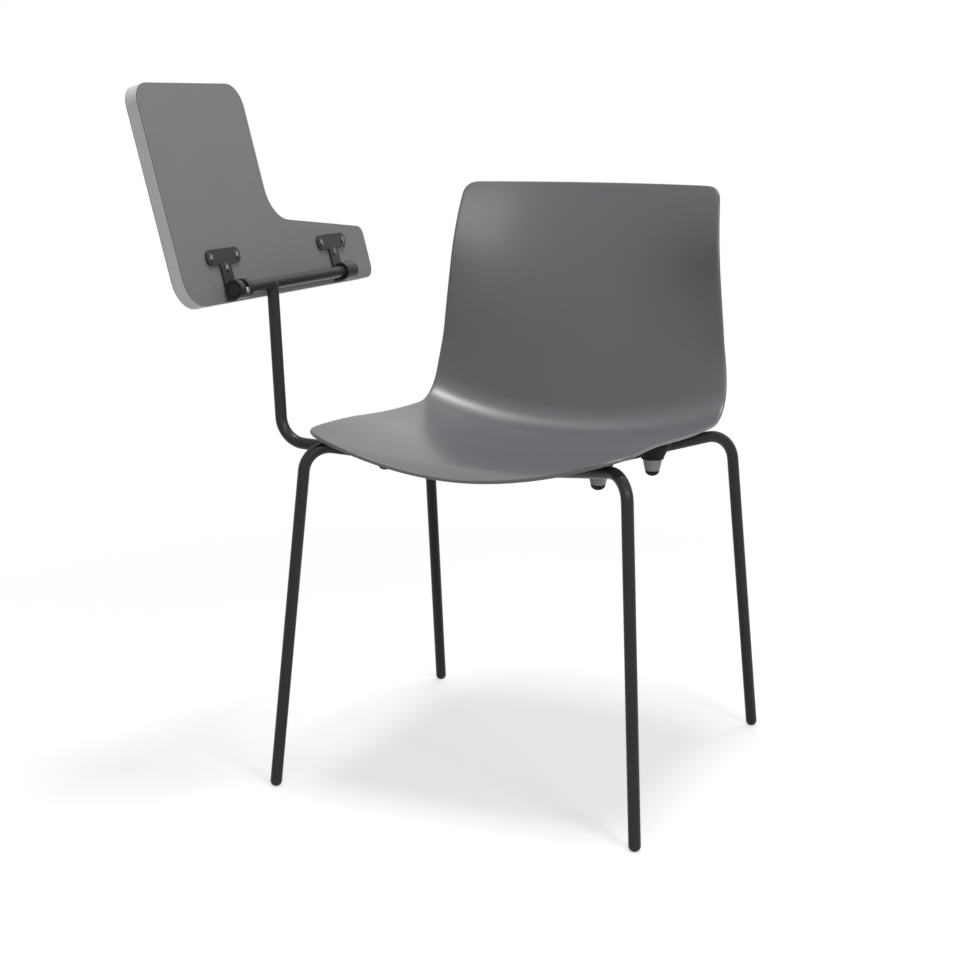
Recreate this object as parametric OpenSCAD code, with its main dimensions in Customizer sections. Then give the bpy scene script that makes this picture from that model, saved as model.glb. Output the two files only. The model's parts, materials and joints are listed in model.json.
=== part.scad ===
// Tablet arm chair: a moulded shell on two bent tubes, with a writing tablet that swings over
// the lap from the side. The front faces -Y, the tablet is on the -X side, the feet stand on
// z = 0, and the origin lies midway between the four feet.

/* [Frame tubes] */
// Outside diameter of the frame, post and hinge bar tubes
tube_d = 16; // [14:0.5:18]
// Wall of those tubes
tube_wall = 1.5; // [1:0.1:2]
// Distance of a front foot beyond the seat's side
front_foot_out = 33; // [17:1:57]
// Distance of a front foot in front of the middle
front_foot_y = 256; // [240:1:280]
// Distance of a rear foot beyond the seat's side
rear_foot_out = 32; // [16:1:57]
// Distance of a rear foot behind the middle
rear_foot_y = 256; // [240:1:280]
// Inward lean of the front legs, in degrees
front_lean_in = 4.2; // [3.5:0.1:4.8]
// Backward lean of the front legs, in degrees
front_lean_back = 5.05; // [4.5:0.05:5.5]
// Inward lean of the rear legs, in degrees
rear_lean_in = 2.5; // [2:0.1:3]
// Forward lean of the rear legs, in degrees
rear_lean_front = 10.4; // [10:0.1:10.8]
// Bend radius at the top of the front legs, to the tube's middle
front_bend_r = 34; // [30:1:40]
// Bend radius at the top of the rear legs
rear_bend_r = 44; // [38:1:48]
// Bend radius of the front tube under the seat
front_mid_r = 60; // [50:1:70]
// Gap between the two tubes where they meet under the seat
tube_gap = 1.5; // [1:0.1:2.5]
// Height of the front legs' corner below the rim behind a front corner of the shell
front_corner_drop = 20.8; // [19:0.2:23]
// Height of the rear legs' corner below the rim where it turns up
rear_corner_drop = 18.4; // [17.5:0.1:21]
// Depth of the front tube's middle corner below the shell
front_mid_drop = 25; // [24:0.5:28]
// Depth of the rear tube's middle corner below the shell
rear_mid_drop = 32; // [30:0.5:35]
// Distance of the front tube's middle corner in front of the middle of the chair
front_mid_y = 62.8; // [60:0.2:66]
// Distance of the rear tube's middle corner in front of the middle of the chair
rear_mid_y = 140; // [136:0.5:144]

/* [Glides] */
// Height of a glide's rounded end below the tube
glide_h = 8.5; // [8:0.5:11]
// Depth that the round end is cut off flat where it stands
glide_flat = 0.6; // [0.4:0.1:1]
// Length of a glide's stem in the tube
glide_stem = 18; // [12:1:25]

/* [Seat shell] */
// Wall of the shell
shell_t = 5.5; // [4.5:0.5:6]
// Size of the rim's rounding
rim_round = 1.5; // [1:0.1:1.8]
// Half width of the seat at its sides
seat_half_w = 228; // [222:1:236]
// Width of a rounded front corner, in from the seat's side
corner_w = 47; // [38:1:56]
// Extra half width where the seat starts to turn up
hip_out = 1; // [0:0.5:5]
// Extra half width where the turn ends
bend_out = 0; // [-2:0.5:3]
// Distance of the rim in from the seat's side a little above the turn
waist_in = 7.5; // [4:0.5:12]
// Distance of the rim in from the seat's side in the middle of the back
back_in = 18; // [12:0.5:24]
// Distance of the rim in from the seat's side just below the top corners
top_in = 28.5; // [22:0.5:36]
// Width of a rounded top corner
top_corner_w = 18; // [12:1:24]
// Height of a rounded top corner
top_corner_h = 18.5; // [14:0.5:22]
// How far the top corner's end lies behind its start
top_corner_back = 15; // [12:0.5:18]
// Front lip, its distance in front of the middle of the chair
lip_y = 233; // [226:1:240]
// Height of the front lip at the middle
lip_z = 446.5; // [440:0.5:454]
// Upward slope of the seat at the lip, in degrees
lip_slope = 24; // [18:1:30]
// Length over which the lip rolls back
lip_run = 46; // [40:1:52]
// Length of the seat's front part
seat_front_run = 130; // [120:1:140]
// Length of the seat's rear part
seat_rear_run = 190; // [180:1:200]
// Radius of the bend from seat to back, at the middle
bend_r = 45; // [40:1:52]
// Length of the lower back
low_back_run = 105; // [98:1:112]
// Length of the middle of the back
mid_back_run = 100; // [94:1:106]
// Length of the upper back
high_back_run = 110; // [104:1:116]
// Length of the back's last stretch, beside the top corners
top_run = 18.5; // [14:0.5:22]
// Front corner of the rim, its distance in front of the middle of the chair
corner_y = 227; // [222:1:230]
// Height of the rim at the front corner
corner_z = 478.5; // [474:0.5:483]
// Depth of a rounded front corner
corner_d = 40; // [32:1:48]
// Rise of the rim round a front corner
corner_rise = 14.3; // [11:0.1:17]
// Length of the side rim's front part
rim_front_run = 137; // [130:1:145]
// Length of the side rim's rear part
rim_rear_run = 174; // [166:1:182]
// Length of the rim's bend
rim_bend_run = 78; // [72:1:84]
// Length of the rim beside the lower back
rim_low_run = 55.5; // [50:0.5:61]
// Length of the rim beside the middle of the back
rim_mid_run = 99.5; // [94:0.5:106]
// Length of the rim beside the upper back
rim_high_run = 107; // [101:0.5:113]

/* [Shell fixings] */
// Outside diameter of a fixing boss
boss_d = 14; // [12:0.5:16]
// Outside diameter of a brass insert
insert_d = 7; // [6.4:0.1:8]
// Length of a brass insert
insert_len = 6; // [5:0.5:7]
// Shank diameter of the shell's screws
screw_d = 5; // [4:0.5:5.5]
// Head diameter of those screws
screw_head_d = 9; // [8:0.5:10]
// Head height of those screws
screw_head_h = 3; // [2:0.5:4]
// Width of the centre strap
strap_w = 30; // [26:1:32]
// Length of the centre strap
strap_l = 116; // [108:1:130]
// Thickness of the centre strap
strap_t = 3; // [2:0.5:3.5]
// Distance between the two screws of the centre strap
strap_pitch = 88; // [80:1:92]
// Length of a tube clip along its tube
clip_l = 20; // [15:1:26]
// Wall of a tube clip beside its tube
clip_wall = 4; // [3:0.5:5]
// Depth that a tube clip reaches below the tube's middle
clip_drop = 4; // [3:0.5:5]

/* [Stacking buffers] */
// Distance of a front buffer in from the seat's side
buffer_front_in = 74; // [67:1:81]
// Distance of a front buffer in front of the middle
buffer_front_y = 126; // [118:1:132]
// Distance of a rear buffer in from the seat's side
buffer_rear_in = 43; // [37:1:51]
// Distance of a rear buffer in front of the middle
buffer_rear_y = 6; // [0:1:20]
// Diameter of a buffer base at its lower end
base_d = 30; // [29:0.5:32]
// Diameter of the base where its flare meets the shell
base_top_d = 48; // [44:1:49]
// Height of the base at its middle
base_h = 17.5; // [17:0.5:21]
// Wall of the base and of the cup
base_wall = 2.5; // [2:0.1:3]
// Diameter of the cup at its upper end
cup_top_d = 26.5; // [25:0.5:28]
// Diameter of the cup at its lower end
cup_low_d = 19.5; // [18:0.5:21]
// Height of the cup
cup_h = 16; // [13:0.5:18]
// Height of the rubber tip
tip_h = 7.5; // [6:0.5:9]
// Diameter of the rubber tip's stem
tip_stem_d = 8; // [6:0.5:9]

/* [Tablet post and hinge bar] */
// Distance of the post's foot beyond the seat's side
post_out = 63.5; // [58:0.5:72]
// Distance of the post in front of the middle of the chair
post_y = 167; // [164:1:169]
// Height of the post's corner
post_z = 463; // [461:0.5:465]
// Bend radius of the post
post_bend_r = 36; // [32:1:42]
// Outward lean of the post, in degrees
post_lean = 2.7; // [2:0.1:3.4]
// Height of the hinge bar
bar_z = 677.6; // [660:0.2:695]
// Distance of the bar's front end in front of the middle of the chair
bar_front_y = 261.5; // [255:0.5:268]
// Distance of the bar's rear end behind the middle of the chair
bar_rear_y = 48; // [42:0.5:56]
// Reach of the plugs' flange beyond the bar's side
plug_lip = 0.7; // [0.5:0.1:0.9]
// Thickness of the plugs' flange
plug_t = 2.5; // [2:0.5:3.5]
// Length of the plugs' stem in the bar
plug_stem = 9; // [6:0.5:10]

/* [Hinge] */
// Outside diameter of a hinge sleeve
sleeve_d = 26; // [24.5:0.5:27]
// Length of a hinge sleeve
sleeve_l = 29.5; // [28:0.5:32]
// Outside diameter of the bush in a sleeve
bush_d = 20.5; // [20:0.5:22]
// Depth of a bush's end in the sleeve's inner end
bush_in = 2; // [1:0.5:4]
// Gap between a bush and the bar, on the radius
bush_gap = 0.05; // [0.02:0.01:0.1]
// Width of the stop slot in the front sleeve
slot_w = 8.6; // [8:0.1:9]
// Distance of the slot's middle from the sleeve's front end
slot_from_end = 14.7; // [14:0.1:15.5]
// Direction of the stop screw, in degrees below level
stop_dip = 4; // [1:1:8]
// Swing of the tablet from its rest to level
swing = 105; // [100:1:110]
// Diameter of the stop screw's shank in the bar
stop_shank_d = 4; // [3:0.1:4.5]
// Thickness of a hinge plate
plate_t = 3; // [2.5:0.5:4]
// Width of a hinge plate's stem, which is flush with the rear end of its sleeve
plate_stem_w = 23.5; // [21:0.5:27]
// Length of a hinge plate's head, along the bar
plate_head_l = 79; // [77:1:90]
// Width of a hinge plate's head
plate_head_w = 21; // [18:0.5:24]
// Distance from the bar to the middle of the plate's head
plate_head_at = 46.6; // [45.2:0.2:52]
// Distance that a plate's stem runs past the bar
plate_tail = 11.5; // [9:0.5:12]
// Radius of the corners at a plate's tail
plate_tail_r = 6; // [4:0.5:9]
// Radius of the inside corners between head and stem
plate_fillet = 3.5; // [2:0.5:5]
// Distance between the two screws in a plate's head
plate_screw_pitch = 61; // [55:1:62]
// Distance from the bar to the screw in a plate's stem
stem_screw_at = 31.5; // [27:0.5:33]
// Diameter of a plate screw's domed head
wood_head_d = 12.5; // [10:0.5:13]
// Height of that head
wood_head_h = 1.8; // [1.5:0.1:2.4]
// Width of the hexagon in that head, over its corners
wood_hex_d = 5; // [4:0.2:6]
// Shank diameter of a plate screw
wood_shank_d = 4.5; // [4:0.1:5]
// Length of a plate screw below its head
wood_len = 14; // [11:0.5:16]

/* [Tablet] */
// Thickness of the whole tablet
board_t = 18; // [16:0.5:22]
// Thickness of each laminate face
laminate_t = 0.8; // [0.6:0.1:1.2]
// Thickness of the edge band
band_t = 2; // [1:0.1:3]
// Lean of the resting tablet past upright, in degrees
rest_tilt = 15; // [10:1:20]
// Distance of the tablet's front edge in front of the middle of the chair
board_front = 346; // [335:1:360]
// Distance of its rear edge behind the middle of the chair
board_rear = 141; // [130:1:155]
// Distance that the tablet's outer edge runs past the bar
board_out = 13.6; // [12:0.2:20]
// Width of the writing lobe, from the bar to its inner edge
lobe_w = 276.5; // [260:0.5:295]
// Distance of the lobe's rear side in front of the middle of the chair
lobe_side = 102; // [92:1:112]
// Width of the arm rest at the lobe, from the bar
arm_front_w = 89.5; // [84:0.5:98]
// Width of the arm rest at its rear end, from the bar
arm_rear_w = 62.5; // [60:0.5:70]
// Corner radius, outer front
front_outer_r = 38; // [28:1:44]
// Corner radius, inner front
front_inner_r = 27; // [20:1:34]
// Corner radius at the rear of the lobe
lobe_r = 32; // [24:1:38]
// Radius of the hollow between lobe and arm rest
hollow_r = 46; // [38:1:54]
// Corner radius, inner rear
rear_inner_r = 14; // [8:1:20]
// Corner radius, outer rear
rear_outer_r = 18; // [10:1:24]

/* [Shell slopes] */
// Upward slope of the seat behind its rolled lip, in degrees
seat_front_slope = 4; // [2:0.5:6]
// Downward slope of the seat's middle
seat_mid_slope = 4.5; // [3.5:0.5:6]
// Downward slope of the seat where it starts to turn up
seat_rear_slope = 3.5; // [2.5:0.5:5]
// Slope of the back just above the turn
turn_end_slope = 77; // [76:0.5:78]
// Slope of the lower back
low_back_slope = 76; // [75:0.5:77]
// Slope of the back's middle
mid_back_slope = 75; // [74:0.5:76]
// Slope of the upper back
high_back_slope = 73; // [72:0.5:74]
// Downward slope of the side rim behind a front corner
rim_front_slope = -0.5; // [-2:0.5:1]
// Downward slope of the side rim's middle
rim_mid_slope = 5.4; // [4.5:0.1:6.5]
// Slope of the side rim above its turn
rim_turn_slope = 75.5; // [74:0.5:78]
// Slope of the side rim beside the lower back
rim_low_slope = 89; // [88:0.5:90]
// Slope of the side rim beside the back's middle
rim_back_slope = 88; // [87:0.5:89]
// Slope of the side rim below a top corner
rim_top_slope = 69; // [67:1:71]
// How sharply the shell turns up towards its rim
dish_share = 2.2; // [2:0.1:2.4]
// How sharply the front edge turns up towards its corners
lip_share = 1.9; // [1.7:0.1:2.2]
// How full a front corner of the rim is
corner_share = 0.68; // [0.5:0.02:0.8]
// How full a top corner of the rim is
top_share = 0.65; // [0.5:0.05:0.8]
// How sharply a buffer base flares towards the shell
flare_share = 1.3; // [1.1:0.1:1.6]
// Place of a front tube clip along its slanted run
front_clip_share = 0.55; // [0.5:0.01:0.6]
// Place of a rear tube clip along its slanted run
rear_clip_share = 0.42; // [0.36:0.01:0.46]
// How round the ends of a hinge plate's head are
head_round_share = 0.98; // [0.5:0.01:0.99]

/* [Fits] */
// Radial gap of a plug or stem in its bore
fit_gap = 0.05; // [0.02:0.01:0.1]
// Gap between the shell and what is screwed to it
seat_gap = 0.1; // [0.05:0.05:0.2]
// Gap between a buffer base's rim and the shell at the base's middle
base_gap = 0.3; // [0.2:0.05:0.4]
// Radial gap of a screw in its hole
screw_play = 0.25; // [0.1:0.05:0.4]
// Depth that the strap is let into the tubes
strap_bite = 0.5; // [0.3:0.1:0.8]
// Gap between a buffer's spigot and its cup
spigot_gap = 0.8; // [0.6:0.1:1.2]
// Gap between a bush and the flange at the bar's end
bush_end_gap = 0.3; // [0.2:0.1:0.5]
// Distance that a plug stands out of its sleeve
plug_out = 0.3; // [0.2:0.1:0.6]
// Gap round the stop screw's head at the slot's ends
stop_play = 0.3; // [0.2:0.05:0.4]
// Height of the stop screw's head above the sleeve's surface
stop_head_out = 0.8; // [0.4:0.1:1.2]
// Step from the slot's sides to its round ends
slot_step = 0.15; // [0.1:0.05:0.2]
// Length that a tube's straight run goes into its bend
bend_lap = 0.4; // [0.3:0.1:0.5]
// Extra wall of a bend, so that it covers the straight run's end
bend_swell = 0.01; // [0.01:0.005:0.02]
// Overrun of every cut
cut_over = 2; // [1:0.5:3]
// Longest reach of a cutting block
cut_reach = 90; // [80:5:120]

/* [Hidden] */
tube_r = tube_d/2;
tube_in_d = tube_d - 2*tube_wall;
round_fn = 64;
arc_steps = 8;

// Slopes of the shell's middle line at the ends of its stretches, in degrees
mid_slopes = [lip_slope, seat_front_slope, -seat_mid_slope, -seat_rear_slope, turn_end_slope,
              low_back_slope, mid_back_slope, high_back_slope, high_back_slope];
mid_runs = [lip_run, seat_front_run, seat_rear_run, bend_r*(turn_end_slope + seat_rear_slope)*PI/180,
            low_back_run, mid_back_run, high_back_run, top_run];
// Slopes of the rim from the end of its front corner
rim_slopes = [-rim_front_slope, -rim_mid_slope, 0, rim_turn_slope, rim_low_slope, rim_back_slope, rim_top_slope];
rim_runs = [rim_front_run, rim_rear_run, rim_bend_run, rim_low_run, rim_mid_run, rim_high_run];
rim_widths = [seat_half_w, seat_half_w, seat_half_w + hip_out, seat_half_w + bend_out,
              seat_half_w - waist_in, seat_half_w - back_in, seat_half_w - top_in];
// Rows of the mesh in each stretch of the shell, and columns in half its width
rows = [8, 8, 8, 12, 6, 5, 6, 5];
half_cols = 12;

function chord(run, a, b) =
    let (d = b - a, k = abs(d) < 0.01 ? 1 : sin(d/2)/(d/2*PI/180)) run*k*[cos((a + b)/2), sin((a + b)/2)];
function walk(start, slopes, runs, i, f) =
    i == 0 ? start + chord(runs[0]*f, slopes[0], slopes[0] + (slopes[1] - slopes[0])*f)
           : walk(start, slopes, runs, i - 1, 1)
             + chord(runs[i]*f, slopes[i], slopes[i] + (slopes[i + 1] - slopes[i])*f);
function mid_point(i, f) = walk([-lip_y, lip_z], mid_slopes, mid_runs, i, f);
rim_start = [corner_d - corner_y, corner_z + corner_rise];
rim_end = walk(rim_start, rim_slopes, rim_runs, 5, 1);
// Change of the half width at the start of a stretch
function width_lean(i) =
    i == 0 ? 0 : i == 6 ? rim_widths[6] - rim_widths[5] : (rim_widths[i + 1] - rim_widths[i - 1])/2;
// Half width along the rim, as one smooth curve through the named widths
function rim_width(i, f) =
    rim_widths[i]*(1 + 2*f)*pow(1 - f, 2) + width_lean(i)*f*pow(1 - f, 2)
    + rim_widths[i + 1]*(3 - 2*f)*f*f - width_lean(i + 1)*(1 - f)*f*f;
function unit(v) = v/norm(v);
// Smooth curve from a to d that leaves towards b and comes in from c
function curve(a, b, c, d, f) = a*pow(1 - f, 3) + 3*b*f*pow(1 - f, 2) + 3*c*f*f*(1 - f) + d*f*f*f;
// Direction in which an edge with a middle and a rising share comes to its end
function edge_lean(end, mid, share) = unit([end[0], share*(end[1] - mid[0]), share*(end[2] - mid[1])]);
lip_end = [seat_half_w - corner_w, -corner_y, corner_z];
side_start = [seat_half_w, rim_start[0], rim_start[1]];
side_lean = [0, cos(rim_slopes[0]), sin(rim_slopes[0])];
side_end = [rim_widths[6], rim_end[0], rim_end[1]];
top_lean = unit([rim_widths[6] - rim_widths[5], rim_high_run*cos(rim_top_slope), rim_high_run*sin(rim_top_slope)]);
top_end = side_end + [-top_corner_w, top_corner_back, top_corner_h];
function front_corner_point(f) =
    curve(lip_end, lip_end + corner_share*corner_w*edge_lean(lip_end, mid_point(0, 0), lip_share),
          side_start - corner_share*corner_d*side_lean, side_start, f);
function top_corner_point(f) =
    curve(side_end, side_end + top_share*top_corner_h*top_lean,
          top_end + top_share*top_corner_w*edge_lean(top_end, mid_point(7, 1), dish_share), top_end, f);
function rim_point(i, f) =
    i == 0 ? front_corner_point(f)
    : i == 7 ? top_corner_point(f)
    : let (p = walk(rim_start, rim_slopes, rim_runs, i - 1, f)) [rim_width(i - 1, f), p[0], p[1]];
function rise_share(i, f) = i == 0 ? lip_share + (dish_share - lip_share)*f : dish_share;
function skin(u, i, f) =
    let (m = mid_point(i, f), r = rim_point(i, f), k = pow(abs(u), rise_share(i, f)))
    [u*r[0], m[0] + (r[1] - m[0])*k, m[1] + (r[2] - m[1])*k];
// Outward normal of the sitter's side, from places a small share of the stretch apart
normal_share = 0.02;
function skin_normal(u, i, f) =
    let (e = normal_share, u0 = max(-1, u - e), u1 = min(1, u + e), f0 = max(0, f - e), f1 = min(1, f + e))
    unit(cross(skin(u1, i, f) - skin(u0, i, f), skin(u, i, f1) - skin(u, i, f0)));
function under(u, i, f) = skin(u, i, f) - shell_t*skin_normal(u, i, f);

// Station of the shell above or below a place on the seat, as share of the width, stretch and fraction
function skin_y(x, i, f) = skin(x/rim_point(i, f)[0], i, f)[1];
function seek(x, y, i, a, b, n) =
    let (c = (a + b)/2) n == 0 ? c : skin_y(x, i, c) < y ? seek(x, y, i, c, b, n - 1) : seek(x, y, i, a, c, n - 1);
function station(x, y) =
    let (i = y < skin_y(x, 1, 1) ? 1 : 2, f = seek(x, y, i, 0, 1, 20)) [x/rim_point(i, f)[0], i, f];
function under_at(x, y) = let (s = station(x, y)) under(s[0], s[1], s[2]);
function normal_at(x, y) = let (s = station(x, y)) skin_normal(s[0], s[1], s[2]);

// Lines of the two frame tubes, on the +X side
front_foot = [seat_half_w + front_foot_out, -front_foot_y, 0];
front_leg = unit([-tan(front_lean_in), tan(front_lean_back), 1]);
front_corner = front_foot + front_leg*(rim_start[1] - front_corner_drop)/front_leg[2];
rear_foot = [seat_half_w + rear_foot_out, rear_foot_y, 0];
rear_leg = unit([-tan(rear_lean_in), -tan(rear_lean_front), 1]);
turn_up_z = rim_point(2, 1)[2];
rear_corner = rear_foot + rear_leg*(turn_up_z - rear_corner_drop)/rear_leg[2];
front_mid = [0, -front_mid_y, under_at(0, -front_mid_y)[2] - front_mid_drop];
rear_mid = [0, -rear_mid_y, under_at(0, -front_mid_y)[2] - rear_mid_drop];
function mirrored(p) = [-p[0], p[1], p[2]];
function half_angle(p, corner) = acos(unit(corner - p)*unit(mirrored(corner) - p))/2;
function to_tip(p, corner) = unit(unit(corner - p) + unit(mirrored(corner) - p))*(1/sin(half_angle(p, corner)) - 1);
front_tip = front_mid + front_mid_r*to_tip(front_mid, front_corner);
// The rear tube's bend is as wide as it takes to reach the front tube
rear_mid_r = (front_tip[1] + tube_d + tube_gap - rear_mid[1])/to_tip(rear_mid, rear_corner)[1];
rear_tip = rear_mid + rear_mid_r*to_tip(rear_mid, rear_corner);
front_line = [front_foot + front_leg*glide_h, front_corner, front_mid,
              mirrored(front_corner), mirrored(front_foot + front_leg*glide_h)];
rear_line = [rear_foot + rear_leg*glide_h, rear_corner, rear_mid,
             mirrored(rear_corner), mirrored(rear_foot + rear_leg*glide_h)];

// Turns +Z to the direction d
module aim(p, d) {
    translate(p) rotate([0, acos(d[2]/norm(d)), atan2(d[1], d[0])]) children();
}
function bend_in(a, b, c, radius) = radius/tan(acos(unit(a - b)*unit(c - b))/2);
// Round ring or disc that a tube's cross-section has
module tube_ring(outer, inner) {
    difference() {
        circle(d=outer, $fn=round_fn);
        if (inner > 0) circle(d=inner, $fn=round_fn);
    }
}
// A bent tube along straight lines between points, with a radius at each inner point
module tube_run(points, radii, outer, inner) {
    n = len(points);
    trims = [for (i = [0 : n - 1])
        i == 0 || i == n - 1 ? 0 : bend_in(points[i - 1], points[i], points[i + 1], radii[i - 1])];
    for (i = [0 : n - 2]) {
        d = unit(points[i + 1] - points[i]);
        low = i == 0 ? 0 : trims[i] - bend_lap;
        high = i == n - 2 ? 0 : trims[i + 1] - bend_lap;
        aim(points[i] + d*low, d)
            linear_extrude(norm(points[i + 1] - points[i]) - low - high) tube_ring(outer, inner);
    }
    for (i = [1 : n - 2]) {
        a = unit(points[i - 1] - points[i]);
        b = unit(points[i + 1] - points[i]);
        turn = 180 - acos(a*b);
        centre = points[i] + unit(a + b)*norm([trims[i], radii[i - 1]]);
        start = unit(points[i] + a*trims[i] - centre);
        axle = unit(cross(start, unit(points[i] + b*trims[i] - centre)));
        tip = acos(axle[2]);
        way = atan2(axle[1], axle[0]);
        side = [cos(way)*cos(tip), sin(way)*cos(tip), -sin(tip)];
        up = [-sin(way), cos(way), 0];
        translate(centre) rotate([0, tip, way]) rotate([0, 0, atan2(start*up, start*side)])
            rotate_extrude(angle=turn, $fn=4*round_fn)
                translate([radii[i - 1], 0]) tube_ring(outer + 2*bend_swell, inner - 2*bend_swell);
    }
}
module front_tube(outer, inner) {
    tube_run(front_line, [front_bend_r, front_mid_r, front_bend_r], outer, inner);
}
module rear_tube(outer, inner) {
    tube_run(rear_line, [rear_bend_r, rear_mid_r, rear_bend_r], outer, inner);
}
// Cuts away what reaches into the shell at a place on the seat
module below_shell(x, y, gap=seat_gap) {
    p = under_at(x, y);
    n = normal_at(x, y);
    difference() {
        children();
        aim(p - n*gap, n) translate([-cut_reach/2, -cut_reach/2, 0]) cube(cut_reach);
    }
}

// The shell's mesh: a sitter's side, two rings round the rim, and an underside
row_list = [for (i = [0 : len(rows) - 1]) for (j = [0 : rows[i] - 1]) [i, j/rows[i]],
            [len(rows) - 1, 1]];
n_rows = len(row_list);
n_cols = 2*half_cols + 1;
function col_share(c) = (c - half_cols)/half_cols;
skin_grid = [for (r = row_list) [for (c = [0 : n_cols - 1]) skin(col_share(c), r[0], r[1])]];
normal_grid = [for (r = row_list) [for (c = [0 : n_cols - 1]) skin_normal(col_share(c), r[0], r[1])]];
function inner_row(r) = r == 0 ? 1 : r == n_rows - 1 ? n_rows - 2 : r;
function inner_col(c) = c == 0 ? 1 : c == n_cols - 1 ? n_cols - 2 : c;
function on_rim(r, c) = inner_row(r) != r || inner_col(c) != c;
function drawn_in(r, c) =
    on_rim(r, c) ? skin_grid[r][c] + rim_round*unit(skin_grid[inner_row(r)][inner_col(c)] - skin_grid[r][c])
                 : skin_grid[r][c];
rim_path = concat([for (c = [0 : n_cols - 2]) [0, c]], [for (r = [0 : n_rows - 2]) [r, n_cols - 1]],
                  [for (c = [n_cols - 1 : -1 : 1]) [n_rows - 1, c]], [for (r = [n_rows - 1 : -1 : 1]) [r, 0]]);
n_rim = len(rim_path);
shell_points = concat(
    [for (r = [0 : n_rows - 1]) for (c = [0 : n_cols - 1]) drawn_in(r, c)],
    [for (r = [0 : n_rows - 1]) for (c = [0 : n_cols - 1]) drawn_in(r, c) - shell_t*normal_grid[r][c]],
    [for (p = rim_path) skin_grid[p[0]][p[1]] - rim_round*normal_grid[p[0]][p[1]]],
    [for (p = rim_path) skin_grid[p[0]][p[1]] - (shell_t - rim_round)*normal_grid[p[0]][p[1]]]);
n_skin = n_rows*n_cols;
function spot(r, c) = r*n_cols + c;
function rim_spot(k) = let (p = rim_path[k % n_rim]) spot(p[0], p[1]);
function quad(a, b, c, d) = [[a, b, c], [a, c, d]];
shell_faces = concat(
    [for (r = [0 : n_rows - 2]) for (c = [0 : n_cols - 2])
        each quad(spot(r, c), spot(r + 1, c), spot(r + 1, c + 1), spot(r, c + 1))],
    [for (r = [0 : n_rows - 2]) for (c = [0 : n_cols - 2])
        each quad(n_skin + spot(r, c), n_skin + spot(r, c + 1),
                  n_skin + spot(r + 1, c + 1), n_skin + spot(r + 1, c))],
    [for (k = [0 : n_rim - 1]) let (m = (k + 1) % n_rim, up = 2*n_skin, low = up + n_rim)
        each concat(quad(rim_spot(k), rim_spot(m), up + m, up + k),
                    quad(up + k, up + m, low + m, low + k),
                    quad(low + k, low + m, n_skin + rim_spot(m), n_skin + rim_spot(k)))]);
module seat_shell() {
    color("dimgray") polyhedron(shell_points, shell_faces);
}

module front_frame_tube() {
    color("#2b2b2d") front_tube(tube_d, tube_in_d);
}
module rear_frame_tube() {
    color("#2b2b2d") rear_tube(tube_d, tube_in_d);
}

// The strap is let into the tops of both tubes where they meet under the seat
strap_slope = atan2(rear_tip[2] - front_tip[2], rear_tip[1] - front_tip[1]);
strap_mid = (front_tip + rear_tip)/2 + [0, 0, tube_r - strap_bite];
module on_strap(y) {
    translate(strap_mid) rotate([strap_slope, 0, 0]) translate([0, y, 0]) children();
}
function strap_place(y) = strap_mid + y*[0, cos(strap_slope), sin(strap_slope)];
module centre_strap() {
    color("#2b2b2d") difference() {
        on_strap(0) translate([-strap_w/2, -strap_l/2, 0]) cube([strap_w, strap_l, strap_t]);
        for (s = [-1, 1]) on_strap(s*strap_pitch/2)
            translate([0, 0, -cut_over]) cylinder(d=screw_d + 2*screw_play, h=strap_t + 2*cut_over, $fn=round_fn);
        front_tube(tube_d, 0);
        rear_tube(tube_d, 0);
    }
}
buffer_front_x = seat_half_w - buffer_front_in;
buffer_rear_x = seat_half_w - buffer_rear_in;
buffer_places = [[-buffer_front_x, -buffer_front_y], [buffer_front_x, -buffer_front_y],
                 [-buffer_rear_x, -buffer_rear_y], [buffer_rear_x, -buffer_rear_y]];
function buffer_top(k) = under_at(buffer_places[k][0], buffer_places[k][1]);
module fixing_boss(h) {
    difference() {
        cylinder(d=boss_d, h=h, $fn=round_fn);
        translate([0, 0, -cut_over]) cylinder(d=insert_d, h=insert_len + cut_over, $fn=round_fn);
    }
}
module boss_insert() {
    difference() {
        cylinder(d=insert_d, h=insert_len, $fn=round_fn);
        translate([0, 0, -cut_over]) cylinder(d=screw_d, h=insert_len + 2*cut_over, $fn=round_fn);
    }
}
// Low end of a buffer's boss, on the buffer's own upright axis
module at_buffer(k) {
    translate(buffer_top(k) - [0, 0, base_h]) children();
}
module fixing_bosses() {
    color("dimgray") {
        for (s = [-1, 1]) below_shell(0, strap_place(s*strap_pitch/2)[1])
            on_strap(s*strap_pitch/2) translate([0, 0, strap_t]) fixing_boss(base_h);
        for (k = [0 : 3]) below_shell(buffer_places[k][0], buffer_places[k][1])
            at_buffer(k) translate([0, 0, base_wall]) fixing_boss(base_h + boss_d/2);
    }
}
module boss_inserts() {
    color("goldenrod") {
        for (s = [-1, 1]) on_strap(s*strap_pitch/2) translate([0, 0, strap_t]) boss_insert();
        for (k = [0 : 3]) at_buffer(k) translate([0, 0, base_wall]) boss_insert();
    }
}
// Head below z = 0 and shank above it
module shell_screw(grip) {
    translate([0, 0, -screw_head_h]) difference() {
        cylinder(d=screw_head_d, h=screw_head_h, $fn=round_fn);
        translate([0, 0, -cut_over]) cylinder(d=screw_head_d/2, h=cut_over + screw_head_h/2, $fn=6);
    }
    cylinder(d=screw_d, h=grip, $fn=round_fn);
}
module strap_screws() {
    color("silver") for (s = [-1, 1]) on_strap(s*strap_pitch/2) shell_screw(strap_t + insert_len);
}
module buffer_screws() {
    color("silver") for (k = [0 : 3]) at_buffer(k) shell_screw(base_wall + insert_len);
}

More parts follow.
